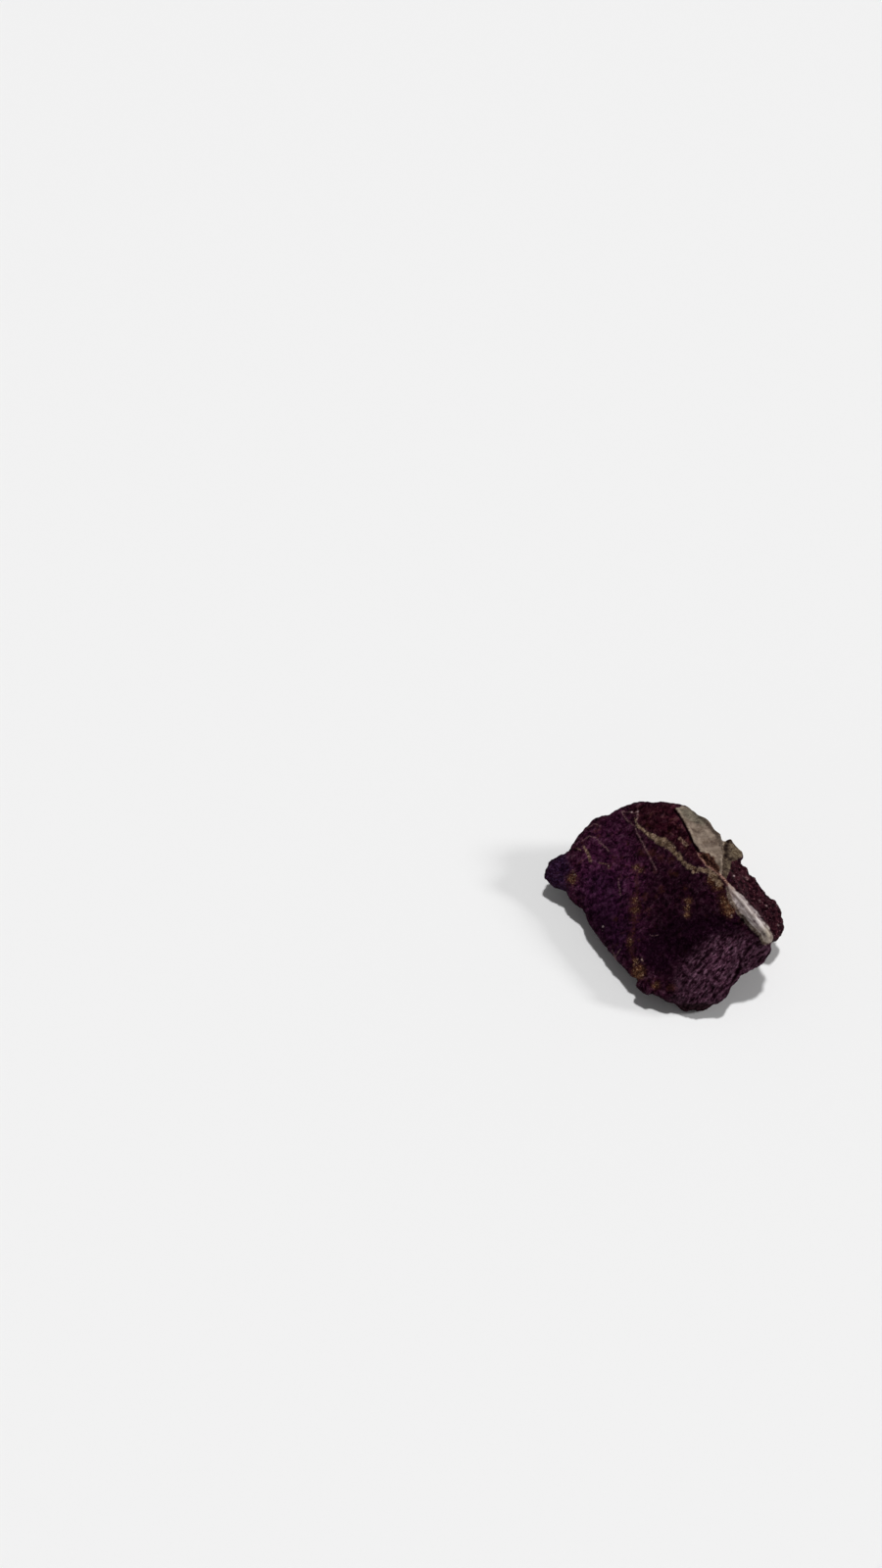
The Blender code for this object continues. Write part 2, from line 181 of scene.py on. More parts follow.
# Creases in the crumbly face, sunk a little and darkened with painted shade
CREASES = [
    [(12.0, -16.4, 0.20), (12.7, -14.0, 0.34), (13.6, -12.0, 0.28), (14.2, -9.8, 0.12)],
    [(14.7, -9.2, 0.10), (15.6, -8.0, 0.20), (16.6, -6.9, 0.10)],
    [(4.8, -12.4, 0.10), (6.4, -10.4, 0.22), (8.4, -8.2, 0.12)],
]
BLUE_FLANK = [
    (-16.0, 6.0), (-12.0, 7.5), (-8.0, 5.0), (-8.0, -1.0), (-6.5, -6.0), (-9.5, -9.0), (-13.0, -5.0),
    (-15.5, 0.0),
]
# How light the phosphate is, and where it is lighter or darker than elsewhere, partly its own tone and partly
# painted light and shade: (right, up, reach, factor)
TONE = 1.16
TONE_LIGHT_AND_SHADE = [
    (-21.0, 6.5, 2.6, 1.20), (-17.0, 6.5, 4.5, 1.40), (-15.0, 12.5, 3.0, 1.20), (-6.5, 6.4, 3.0, 1.40),
    (-3.0, 9.6, 2.8, 1.60), (0.8, 9.4, 1.8, 1.35), (1.0, 16.2, 1.8, 1.45), (5.4, -8.2, 2.2, 0.66),
    (10.5, -8.8, 3.2, 1.50), (8.0, -12.5, 3.2, 1.25), (17.6, -8.6, 2.8, 0.80), (1.5, -4.6, 3.5, 0.80),
    (7.0, -3.2, 3.0, 0.85), (1.0, -12.5, 2.6, 0.75), (4.0, 4.5, 3.5, 0.85), (-12.3, -3.4, 2.8, 0.55),
]
CREAM_CRUMB = [(13.2, 10.2, 1.00), (12.6, 11.4, 0.45), (11.8, 7.4, 0.40), (11.9, 5.9, 0.35)]
DARK_CRUMB = [
    (11.4, 11.5, 0.40), (11.6, 12.2, 0.25), (11.4, 10.7, 0.38), (11.3, 9.9, 0.30), (12.3, 9.1, 0.25),
    (13.8, 8.8, 0.30),
]
# Where the outline is moved: (right, up, reach, move right, move up)
NUDGES = [
    (19.0, -9.8, 2.5, -0.20, 0.18), (15.4, -12.6, 2.5, -0.40, 0.45), (12.4, -15.4, 2.0, -0.25, 0.25),
    (8.6, -18.9, 1.4, -0.30, 0.50), (20.6, -6.2, 1.5, 0.0, 0.10), (1.9, -18.4, 1.4, 0.20, 0.85),
    (3.0, -19.8, 1.2, 0.0, -0.70), (-1.5, -17.4, 1.6, 0.0, 0.40), (15.5, 5.9, 1.3, -0.30, -0.30),
    (10.0, 13.5, 1.0, 0.35, 0.35), (12.1, 12.8, 1.1, 0.10, 0.30), (20.6, -0.4, 2.0, 0.30, 0.20),
    (-10.7, 17.5, 2.0, 0.12, -0.28), (-1.9, 19.8, 1.8, 0.0, -0.32), (17.4, 3.9, 1.2, -0.15, -0.15),
]
# The features that are closed outlines
AREAS = {
    "patch": PALE_PATCH, "crumb": BACK_CRUMB, "violet": VIOLET, "ledge": LEDGE, "crumbly": CRUMBLY,
    "scoop_shade": SHADED_SCOOP, "maroon": MAROON, "broad_shade": SHADE_AREA, "blue": BLUE_BUMP, "blue_flank": BLUE_FLANK,
    "pit": BROWN_PIT, "grey": GREY,
}
# The features that are thin lines, and those that are discs: where, and how much of the wander they follow
LINES = {
    "streak": (STREAKS, 0.4), "tan_streak": (TAN_STREAKS, 0.4), "crease": (CREASES, 0.4),
    "rosy": ([ROSY_LINE], 0.6),
}
DISCS = {
    "ochre": (OCHRE_SPOTS, 1.6), "stain": (STAINS, 1.6), "glint": (GLINTS, 0.2), "cream": (CREAM_CRUMB, 1.0),
    "dark_crumb": (DARK_CRUMB, 1.0),
}
# How much of the wander these follow
STRIP_WANDER, SHADOW_GROOVE_WANDER, FOOT_WANDER, TRAIL_WANDER = 0.5, 0.5, 0.6, 3.0
SHADOW_GROOVE_HALF_WIDTH = 0.16
TRAIL_HALF_WIDTH = 0.30
STRIP_SIDE_SHIFT = (0.50, 0.42)  # the smear beside the strip is the strip again, this far to the lower left
STRIP_WAY = (0.65, -0.76)  # the way the strip runs, as (right, up)

# How far the features' edges wander, over what length, and the roughness of the vein's edge, in millimetres
WANDER = 0.22
WANDER_SIZE = 1.5
VEIN_ROUGHNESS = 0.28
VEIN_ROUGHNESS_SIZE = 0.9
# How far each kind of feature draws back where the stone turns away from the eye, in millimetres
LINE_RETREAT = 2.0
DISC_RETREAT = 3.0
FOOT_RETREAT = 0.8
# The cosines between a place's normal and the way to the eye at which it starts to be in view and fully is
VIEW_FADE = (-0.05, 0.25)
# The same towards the cleavage normal, for the smooth top
CLEAVAGE_FADE = (0.55, 0.85)
# How far each side of its edge a surface fades in, in millimetres: the crumbly face, and the others
CRUMBLY_FADE = 1.4
SURFACE_FADE = 0.5

# The noises: how fast finer lumps fade and how much finer each octave is, then the chips of facets()
FRACTAL_FADE = 0.7
FRACTAL_STEP = 2.1
LEVEL_SPREAD = 3.7  # spreads the chips' centres out, so that neighbours get unlike levels
SLANT_SPREAD = 7.3
CHIP_SLANT = 1.1
CHIP_EDGE = 0.25  # how wide the slope between two chips is, as a share of their size
# Shifts that give another pattern of the same noise, in millimetres
ACROSS_SHIFT, VEIN_SHIFT, MIDDLE_SHIFT, SMALL_SHIFT = 40.0, 70.0, 13.0, 29.0

# The sizes of the relief's textures, in millimetres. The bark's are along, across and into its grain
COARSE, MIDDLE, SMALL, GRAIN_SIZE, FUZZ = 2.6, 1.15, 0.6, 0.55, 0.45
BARK_SIZE = (1.3, 0.44, 1.0)
# How far each texture stands out on each kind of surface, in millimetres
TEXTURE_HEIGHTS = {
    "top": {"coarse": 0.14, "middle": 0.12, "small": 0.07, "fuzz": 0.03},
    "side": {"coarse": 0.20, "middle": 0.17, "small": 0.10, "fuzz": 0.04},
    "crumbly": {"bark": 0.20, "coarse": 0.12, "middle": 0.14, "small": 0.09},
    "ledge": {"coarse": 0.16, "middle": 0.24, "small": 0.14, "fuzz": 0.04},
    "pale": {"coarse": 0.10, "middle": 0.08, "small": 0.04, "grains": 0.03},
}
# How far each feature stands out, or sinks in where negative, where inside its edge that starts and where it
# is full, all in millimetres, and whether it does so only where the stone is in view
STEPS = {
    "crease": (-0.24, -0.35, 0.20, False),
    "dark_crumb": (-0.20, -0.40, 0.40, True),
    "streak": (0.06, -0.15, 0.15, False),
    "rosy": (0.08, -0.15, 0.15, False),
    "foot": (-0.34, -0.50, 0.90, False),
    "shadow_groove": (-0.22, -0.20, 0.10, True),
    "pit": (-0.25, -0.30, 0.60, True),
}
VEIN_FADE = (-0.25, 0.35)
VEIN_RISE, VEIN_GRAINS, VEIN_CHIPS = 0.08, 0.12, 0.05
OCHRE_FADE = (-0.2, 0.5)
OCHRE_GRAINS = 0.10
RIDGE_HEIGHT = 0.22
RIDGE_HALF_WIDTH = 0.35

# The painted masks, and over how many millimetres each goes from 0 to 1, with the feature's edge halfway
MASKS = {
    "vein": 1.2, "rosy": 1.2, "streak": 1.2, "tan_streak": 1.2, "ochre": 1.2, "stain": 1.6, "glint": 0.6,
    "foot": 1.2, "patch": 1.2, "grey": 1.6, "rim": 1.2, "crumb": 1.2, "cream": 1.2, "dark_crumb": 1.0,
    "strip": 1.2, "strip_side": 1.2, "ledge": 1.2, "blue_flank": 5.0, "crumbly": 3.4, "crease": 1.2,
    "scoop_shade": 3.0, "broad_shade": 5.0, "maroon": 2.4, "violet": 5.0, "blue": 2.4, "pit": 1.2, "shadow_groove": 1.2,
}
# The values that are painted as they are
MEASURES = ("in_view", "tone_and_light", "along", "across", "depth", "strip_along", "strip_across")
# Hollows are darker and bumps lighter, as painted shade: how many rounds the height is averaged over, and
# what height counts
LIFT_ROUNDS = 12
LIFT_HEIGHT = 0.12

# The material. Lumps of the streaky noises per millimetre: along, across and into the grain
BARK_PER_MM = (0.78, 2.2, 1.0)
FIBRE_PER_MM = (0.35, 2.2)
# The roughness of the phosphate, as its least and how much more it gets, and of the pale rock
SATIN_LEAST, SATIN_RANGE, DULL_ROUGHNESS = 0.58, 0.20, 0.85
# The bump: the chips, each as how many per millimetre and their slope, then the grit on them, in millimetres,
# the share of the finest noise in it, and how much weaker all of it is on the pale rock
CHIPS = ((1.1, 0.34), (2.7, 0.32))
GRIT_HEIGHT = 0.10
FINE_GRIT = 0.4
DULL_LOSS = 0.45
STONE_IOR = 1.2
STONE_SPECULAR = 0.12
STONE_TINT = (1.0, 0.25, 0.65, 1.0)

# The floor and the room, whose light fades from the horizon up to the elevation that has this sine
FLOOR_HALF = 20.0
FLOOR_COLOUR = (0.86, 0.86, 0.86, 1.0)
FLOOR_ROUGHNESS = 0.85
FLOOR_SPECULAR = 0.2
HORIZON_LIGHT = 0.90
UPPER_LIGHT = 0.12
FADE_SINE = 0.40


def camera_matrix():
    """The camera stands back from the sight point, turned so that this point falls on its pixel."""
    back = Vector(TO_EYE)
    facing = (-back).to_track_quat("-Z", "Y").to_matrix()
    aside = (SIGHT_PIXEL[0] - PHOTO_WIDTH / 2) / FOCAL_PIXELS
    above = (PHOTO_HEIGHT / 2 - SIGHT_PIXEL[1]) / FOCAL_PIXELS
    turn = Vector((aside, above, -1.0)).rotation_difference(Vector((0.0, 0.0, -1.0))).to_matrix()
    return Matrix.Translation(SIGHT_POINT + back * EYE_DISTANCE) @ (facing @ turn).to_4x4()


def add_camera():
    data = bpy.data.cameras.new("camera")
    data.sensor_width = SENSOR_MM
    data.sensor_fit = "AUTO"
    data.lens = SENSOR_MM * FOCAL_PIXELS / PHOTO_HEIGHT
    data.clip_start = NEAREST_SEEN
    camera = bpy.data.objects.new("camera", data)
    camera.matrix_world = camera_matrix()
    bpy.context.scene.collection.objects.link(camera)
    bpy.context.scene.camera = camera


def sighted(places):
    """(right, up, deep) of each place, in millimetres: the last one is along the line of sight."""
    inverse = camera_matrix().inverted()
    local = places @ np.array(inverse.to_3x3()).T + np.array(inverse.translation)
    pixel_x = PHOTO_WIDTH / 2 - FOCAL_PIXELS * local[:, 0] / local[:, 2]
    pixel_y = PHOTO_HEIGHT / 2 + FOCAL_PIXELS * local[:, 1] / local[:, 2]
    right = (pixel_x - SIGHT_PIXEL[0]) * MM_PER_PIXEL
    up = (SIGHT_PIXEL[1] - pixel_y) * MM_PER_PIXEL
    return np.stack([right, up, -local[:, 2] / MM], axis=1)


def eased(values, low, high):
    """A smooth step from 0 at low to 1 at high."""
    share = np.clip((values - low) / (high - low), 0.0, 1.0)
    return share * share * (3.0 - 2.0 * share)


def nearness(spots, right, up, reach):
    """1 at (right, up), falling off smoothly over about reach millimetres."""
    return np.exp(-((spots - (right, up)) ** 2).sum(axis=1) / reach ** 2)


def nudged(places):
    """The places moved a little across the line of sight, where the outline asks for it."""
    spots = sighted(places)[:, :2]
    turn = camera_matrix().to_3x3()
    for right, up, reach, aside, above in NUDGES:
        weight = nearness(spots, right, up, reach) * MM
        places = places + weight[:, None] * np.array(turn @ Vector((aside, above, 0.0)))
    return places


def line_reach(line, spots):
    """Distance of each spot from a line of points, and how many points along the line that is."""
    best = np.full(len(spots), np.inf)
    along = np.zeros(len(spots))
    for index, (start, end) in enumerate(zip(line[:-1], line[1:])):
        first = np.array(start[:2])
        span = np.array(end[:2]) - first
        share = np.clip((spots - first) @ span / (span @ span), 0.0, 1.0)
        reach = np.linalg.norm(spots - first - share[:, None] * span, axis=1)
        nearer = reach < best
        best[nearer] = reach[nearer]
        along[nearer] = index + share[nearer]
    return best, along


def band(line, spots):
    """How far each spot is inside a band round a line of (right, up, half-width); negative outside."""
    reach, along = line_reach(line, spots)
    return np.interp(along, range(len(line)), [point[2] for point in line]) - reach


def area(outline, spots):
    """How far each spot is inside a closed outline; negative outside."""
    closed = outline + outline[:1]
    reach, _ = line_reach(closed, spots)
    inside = np.zeros(len(spots), bool)
    for (x0, y0), (x1, y1) in zip(closed[:-1], closed[1:]):
        if y0 == y1:
            continue
        crosses = (y0 > spots[:, 1]) != (y1 > spots[:, 1])
        crossing = x0 + (spots[:, 1] - y0) * (x1 - x0) / (y1 - y0)
        inside ^= crosses & (spots[:, 0] < crossing)
    return np.where(inside, reach, -reach)


def discs(circles, spots):
    """How far each spot is inside any of some circles of (right, up, radius); negative outside them all."""
    inside = [radius - np.linalg.norm(spots - (right, up), axis=1) for right, up, radius in circles]
    return np.max(inside, axis=0)


def turned(way, right, up):
    """How far along and how far across a way, itself given as (right, up), each place is."""
    return way[0] * right + way[1] * up, way[0] * up - way[1] * right


def rough(places, size, octaves=3):
    """Fractal noise of about -1 to 1, whose lumps are about size millimetres."""
    scaled = (places / size).tolist()
    return np.array([noise.fractal(place, FRACTAL_FADE, FRACTAL_STEP, octaves) for place in scaled])


def chip_level(place, centre):
    """The height, at a place, of the flat chip round a centre, which has its own level and slant."""
    slant = noise.noise_vector(centre * SLANT_SPREAD)
    return noise.noise(centre * LEVEL_SPREAD) + CHIP_SLANT * (place - centre).dot(slant)


def facets(places, size):
    """Slanted flat chips about size millimetres across, of about -1 to 1, with slopes between them."""
    heights = []
    for place in (places / size).tolist():
        where = Vector(place)
        reaches, centres = noise.voronoi(where)
        own, other = (chip_level(where, centre) for centre in centres[:2])
        edge = max(0.0, 1.0 - (reaches[1] - reaches[0]) / CHIP_EDGE)
        heights.append(own + 0.5 * (other - own) * edge)
    return np.array(heights)


def crumbs(places, size):
    """Rounded grains about size millimetres across, from 0 in the gaps to 1 on top."""
    return np.array([1.0 - min(1.0, noise.voronoi(place)[0][0]) for place in (places / size).tolist()])


def fine_skin(node):
    """A copy of the node's mesh, remeshed to even fine faces and smoothed."""
    skin = bpy.data.objects.new("skin_source", node.data.copy())
    bpy.context.scene.collection.objects.link(skin)
    remesh = skin.modifiers.new("remesh", "REMESH")
    remesh.mode = "VOXEL"
    remesh.voxel_size = GRAIN
    smooth = skin.modifiers.new("smooth", "SMOOTH")
    smooth.iterations = SMOOTHING
    bpy.context.view_layer.update()
    mesh = bpy.data.meshes.new_from_object(skin.evaluated_get(bpy.context.evaluated_depsgraph_get()))
    bpy.data.objects.remove(skin)
    mesh.name = "purpurite_skin"
    mesh.materials.clear()
    return mesh


def read(mesh, what):
    """The vertices' co or normal, as rows."""
    values = np.empty(len(mesh.vertices) * 3)
    mesh.vertices.foreach_get(what, values)
    return values.reshape(-1, 3)


def tone_light_and_shade(bent, in_view):
    """How light the phosphate is at each place: its tone, with painted light and shade in places. The lighter
    and darker places show only where in view.
    """
    gain = np.zeros(len(bent))
    for right, up, reach, factor in TONE_LIGHT_AND_SHADE:
        gain += math.log(factor) * nearness(bent, right, up, reach)
    return TONE * np.exp(gain * in_view)


def regions(places, normals):
    """What each place is made of, and where light and shade are painted on it.

    Each feature is given as how far the place is inside it, in millimetres. in_view is 1 where the stone
    faces the eye and 0 where it is turned away.
    """
    mm = places / MM
    sight = sighted(places)
    spots = sight[:, :2]
    in_view = eased(normals @ np.array(TO_EYE), *VIEW_FADE)
    hidden = 1.0 - in_view
    wander = WANDER * np.stack([rough(mm, WANDER_SIZE), rough(mm + ACROSS_SHIFT, WANDER_SIZE)], axis=1)
    bent = spots + wander
    found = {"mm": mm, "sight": sight, "in_view": in_view, "tone_and_light": tone_light_and_shade(bent, in_view)}
    for name, outline in AREAS.items():
        found[name] = area(outline, bent)
    for name, (lines, share_of_wander) in LINES.items():
        moved = spots + share_of_wander * wander
        found[name] = np.max([band(line, moved) for line in lines], axis=0) - LINE_RETREAT * hidden
    for name, (circles, share_of_wander) in DISCS.items():
        found[name] = discs(circles, spots + share_of_wander * wander) - DISC_RETREAT * hidden
    found["vein"] = band(MAIN_VEIN, bent) + VEIN_ROUGHNESS * rough(mm + VEIN_SHIFT, VEIN_ROUGHNESS_SIZE)
    found["rim"] = band(PATCH_RIM, bent)
    found["strip"] = band(STRIP, spots + STRIP_WANDER * wander)
    found["strip_side"] = band(STRIP, spots + wander + STRIP_SIDE_SHIFT) - LINE_RETREAT * hidden
    found["shadow_groove"] = SHADOW_GROOVE_HALF_WIDTH - line_reach(SHADOW_GROOVE, spots + SHADOW_GROOVE_WANDER * wander)[0]
    found["foot"] = area(FOOT, spots + FOOT_WANDER * wander) - FOOT_RETREAT * hidden
    trail = TRAIL_HALF_WIDTH - line_reach(STAIN_TRAIL, spots + TRAIL_WANDER * wander)[0]
    found["stain"] = np.maximum(found["stain"], trail - DISC_RETREAT * hidden)
    right, up, deep = sight.T
    found["along"], found["across"] = turned(GRAIN_ALONG, right, up)
    found["depth"] = deep - np.mean(deep)
    found["strip_along"], _ = turned(STRIP_WAY, right - STRIP[0][0], up - STRIP[0][1])
    _, found["strip_across"] = turned(STRIP_WAY, right, up)
    return found


def share(found, name, fade=SURFACE_FADE):
    """How much of each place belongs to a feature, from 0 to 1."""
    return eased(found[name], -fade, fade)


def surfaces(found, normals):
    """How much of each kind of surface each place is, from 0 to 1."""
    pale = np.max([share(found, name) for name in ("patch", "crumb", "strip")], axis=0)
    ledge = share(found, "ledge") * (1.0 - pale)
    crumbly = share(found, "crumbly", CRUMBLY_FADE) * found["in_view"] * (1.0 - pale)
    level = eased(normals @ np.array(CLEAVAGE_NORMAL), *CLEAVAGE_FADE) * found["in_view"]
    top = level * (1.0 - pale) * (1.0 - ledge) * (1.0 - crumbly)
    side = (1.0 - top) * (1.0 - pale) * (1.0 - ledge) * (1.0 - crumbly)
    return {"top": top, "side": side, "crumbly": crumbly, "ledge": ledge, "pale": pale}


def textures(found):
    """Chips, grains and bark at each place. The bark runs along the crumbly face's grain."""
    mm = found["mm"]
    streaked = np.stack([found["along"], found["across"], found["sight"][:, 2]], axis=1) / BARK_SIZE
    return {
        "bark": rough(streaked, 1.0, octaves=2),
        "coarse": facets(mm, COARSE),
        "middle": facets(mm + MIDDLE_SHIFT, MIDDLE),
        "small": facets(mm + SMALL_SHIFT, SMALL),
        "grains": crumbs(mm, GRAIN_SIZE) - 0.5,
        "fuzz": rough(mm, FUZZ),
    }


def relief(found, normals):
    """How far each place is pushed out, in millimetres."""
    surface = surfaces(found, normals)
    texture = textures(found)
    height = np.zeros(len(normals))
    for kind, heights in TEXTURE_HEIGHTS.items():
        height += surface[kind] * sum(rise * texture[name] for name, rise in heights.items())
    granular = VEIN_RISE + VEIN_GRAINS * texture["grains"] + VEIN_CHIPS * texture["middle"]
    height += eased(found["vein"], *VEIN_FADE) * granular
    for name, (rise, start, full, only_in_view) in STEPS.items():
        height += rise * eased(found[name], start, full) * (found["in_view"] if only_in_view else 1.0)
    height += OCHRE_GRAINS * eased(found["ochre"], *OCHRE_FADE) * texture["grains"]
    from_ridge, _ = line_reach(STRIP_RIDGE, found["sight"][:, :2])
    ridge = np.exp(-(from_ridge / RIDGE_HALF_WIDTH) ** 2)
    height += RIDGE_HEIGHT * surface["pale"] * ridge * found["in_view"]
    return height


def paint(mesh, name, values):
    layer = mesh.attributes.new(name, "FLOAT", "POINT")
    layer.data.foreach_set("value", np.ascontiguousarray(values, np.float32))


def neighbour_mean(mesh, values, rounds):
    """The values averaged over each vertex and its neighbours, several times over."""
    ends = np.empty(len(mesh.edges) * 2, int)
    mesh.edges.foreach_get("vertices", ends)
    first, second = ends.reshape(-1, 2).T
    count = np.bincount(first, minlength=len(values)) + np.bincount(second, minlength=len(values)) + 1.0
    for _ in range(rounds):
        total = values + np.bincount(first, values[second], len(values))
        total += np.bincount(second, values[first], len(values))
        values = total / count
    return values


def build_skin(node):
    """The stone's visible skin, in relief and painted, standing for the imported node."""
    mesh = fine_skin(node)
    normals = read(mesh, "normal")
    places = nudged(read(mesh, "co"))
    found = regions(places, normals)
    height = relief(found, normals)
    places = places + normals * (height * MM)[:, None]
    places[:, 2] = np.maximum(places[:, 2], 0.0)
    mesh.vertices.foreach_set("co", places.ravel())
    mesh.update()
    for name, reach in MASKS.items():
        paint(mesh, name, np.clip(0.5 + found[name] / reach, 0.0, 1.0))
    lift = (height - neighbour_mean(mesh, height, LIFT_ROUNDS)) / LIFT_HEIGHT
    paint(mesh, "lift", np.clip(0.5 + 0.5 * lift, 0.0, 1.0))
    for name in MEASURES:
        paint(mesh, name, found[name])
    mesh.shade_smooth()
    skin = bpy.data.objects.new("purpurite_skin", mesh)
    bpy.context.scene.collection.objects.link(skin)
    skin.data.materials.append(stone_material())
    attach(skin, "root")
    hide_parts("purpurite_stone")


def linear(red, green, blue):
    """A colour given as the 0 to 255 that a photograph shows, as the light that it stands for."""
    parts = [value / 255 for value in (red, green, blue)]
    lights = [part / 12.92 if part <= 0.04045 else ((part + 0.055) / 1.055) ** 2.4 for part in parts]
    return (*lights, 1.0)


class Graph:
    """Short ways to write a material's node tree."""

    def __init__(self, material):
        material.use_nodes = True
        self.tree = material.node_tree
        self.shader = self.tree.nodes["Principled BSDF"]

    def node(self, kind, inputs=(), **settings):
        made = self.tree.nodes.new(kind)
        for name, value in settings.items():
            setattr(made, name, value)
        for socket, value in dict(inputs).items():
            self.feed(made.inputs[socket], value)
        return made

    def feed(self, socket, value):
        if isinstance(value, bpy.types.NodeSocket):
            self.tree.links.new(value, socket)
        else:
            socket.default_value = value

    def mask(self, name):
        return self.node("ShaderNodeAttribute", attribute_name=name).outputs["Fac"]

    def math(self, operation, first, second=0.0, third=0.0):
        return self.node("ShaderNodeMath", {0: first, 1: second, 2: third}, operation=operation).outputs[0]

    def vector_math(self, operation, first, second, output="Vector"):
        return self.node("ShaderNodeVectorMath", {0: first, 1: second}, operation=operation).outputs[output]

    def vector(self, x, y, z):
        return self.node("ShaderNodeCombineXYZ", {0: x, 1: y, 2: z}).outputs[0]

    def span(self, value, low, high, smooth=True):
        """value taken from low..high to 0..1; it falls where low is the larger."""
        kind = "SMOOTHSTEP" if smooth else "LINEAR"
        inputs = {"Value": value, "From Min": low, "From Max": high}
        return self.node("ShaderNodeMapRange", inputs, interpolation_type=kind, clamp=True).outputs["Result"]

    def mix(self, share, first, second, blend="MIX"):
        made = self.node("ShaderNodeMix", {0: share, 6: first, 7: second}, data_type="RGBA", blend_type=blend)
        return made.outputs[2]

    def laid(self, base, share, amount, colour):
        """The base with a colour laid over a share of it, by as much as amount."""
        return self.mix(self.math("MULTIPLY", share, amount), base, colour)

    def flecked(self, base, pattern, low, high, amount, colour):
        """The base with a colour laid over it, by as much as amount, as a pattern goes from low to high."""
        return self.laid(base, self.span(pattern, low, high), amount, colour)

    def two_tone(self, pattern, low, high, first, second):
        """The first colour, turning into the second as a pattern goes from low to high."""
        return self.mix(self.span(pattern, low, high), first, second)

    def noise(self, where, per_mm, detail, roughness=0.6, distortion=0.0):
        made = self.node("ShaderNodeTexNoise", {"Vector": where, "Scale": per_mm, "Detail": detail})
        made.inputs["Roughness"].default_value = roughness
        made.inputs["Distortion"].default_value = distortion
        return made.outputs["Fac"]

    def facets(self, where, per_mm, slope):
        """The height, in millimetres, of flat chips that each lean their own way, by slope at most."""
        cell = self.node("ShaderNodeTexVoronoi", {"Vector": where, "Scale": per_mm})
        across = self.vector_math("SUBTRACT", where, cell.outputs["Position"])
        lean = self.vector_math("SUBTRACT", cell.outputs["Color"], (0.5, 0.5, 0.5))
        return self.math("MULTIPLY", self.vector_math("DOT_PRODUCT", across, lean, "Value"), 2.0 * slope)


class StoneGraph(Graph):
    """A node tree with the patterns that the stone's colours share."""

    def __init__(self, material):
        super().__init__(material)
        place = self.node("ShaderNodeTexCoord").outputs["Object"]
        self.where = self.node("ShaderNodeVectorMath", {0: place, 3: 1.0 / MM}, operation="SCALE").outputs[0]
        self.broad = self.noise(self.where, per_mm=0.16, detail=3.0)
        self.patchy = self.noise(self.where, per_mm=0.55, detail=4.0)
        self.mottle = self.noise(self.where, per_mm=1.0, detail=5.0, roughness=0.74, distortion=0.8)
        self.speckle = self.noise(self.where, per_mm=3.6, detail=3.0, distortion=0.5)
        self.grit = self.noise(self.where, per_mm=8.0, detail=2.0, roughness=0.5)
        self.in_view = self.mask("in_view")

    def edge(self, name, ragged=0.45, softness=0.08):
        """A feature's mask with a ragged edge."""
        shift = self.math("MULTIPLY", self.math("SUBTRACT", self.speckle, 0.5), ragged)
        return self.span(self.math("ADD", self.mask(name), shift), 0.5 - softness, 0.5 + softness)


def phosphate(g):
    """Black-purple, violet or maroon in places, with lilac threads and specks, and painted shade over a broad
    area.
    """
    maroon, violet = g.edge("maroon", 0.5, 0.3), g.edge("violet", 0.6, 0.45)

    def varied(usual, in_violet, in_maroon):
        return g.mix(maroon, g.mix(violet, linear(*usual), linear(*in_violet)), linear(*in_maroon))

    deep = varied((17, 2, 9), (20, 1, 15), (23, 1, 6))
    plum = varied((52, 20, 37), (70, 28, 56), (56, 21, 31))
    lilac = varied((92, 62, 76), (100, 64, 86), (98, 62, 64))
    colour = g.two_tone(g.mottle, 0.40, 0.54, deep, plum)
    colour = g.flecked(colour, g.mottle, 0.54, 0.66, 0.8, lilac)
    colour = g.flecked(colour, g.speckle, 0.46, 0.36, 0.6, deep)
    colour = g.flecked(colour, g.broad, 0.47, 0.60, 0.3, linear(14, 0, 7))
    # Painted shade over a broad area of the top
    colour = g.laid(colour, g.edge("broad_shade", 0.6, 0.5), 0.4, linear(14, 0, 8))
    colour = g.flecked(colour, g.patchy, 0.58, 0.70, 0.45, linear(68, 38, 26))
    colour = g.laid(colour, threads(g), 0.55, linear(106, 74, 90))
    return g.flecked(colour, g.speckle, 0.60, 0.72, 0.65, lilac)


def threads(g):
    """Thin winding lines, where a slow noise crosses its middle, in some places only."""
    winding = g.noise(g.where, per_mm=1.5, detail=2.0, roughness=0.5, distortion=1.6)
    lines = g.span(g.math("ABSOLUTE", g.math("SUBTRACT", winding, 0.5)), 0.016, 0.004)
    places = g.span(g.noise(g.where, per_mm=0.9, detail=2.0), 0.52, 0.60)
    return g.math("MULTIPLY", lines, places)


def blue_and_shaded_hollow(g, colour):
    """The bluish flank and bump, and painted shade in the hollow above the crumbly face."""
    flank = g.two_tone(g.mottle, 0.42, 0.60, linear(14, 3, 20), linear(50, 26, 56))
    colour = g.laid(colour, g.edge("blue_flank", 0.5, 0.5), 0.42, flank)
    bump = g.two_tone(g.speckle, 0.46, 0.68, linear(16, 6, 22), linear(62, 48, 80))
    colour = g.laid(colour, g.edge("blue", 0.3, 0.4), 0.6, bump)
    # Painted shade in the hollow
    hollow = g.two_tone(g.speckle, 0.48, 0.70, linear(13, 0, 10), linear(50, 26, 44))
    return g.laid(colour, g.edge("scoop_shade", 0.5, 0.5), 0.8, hollow)


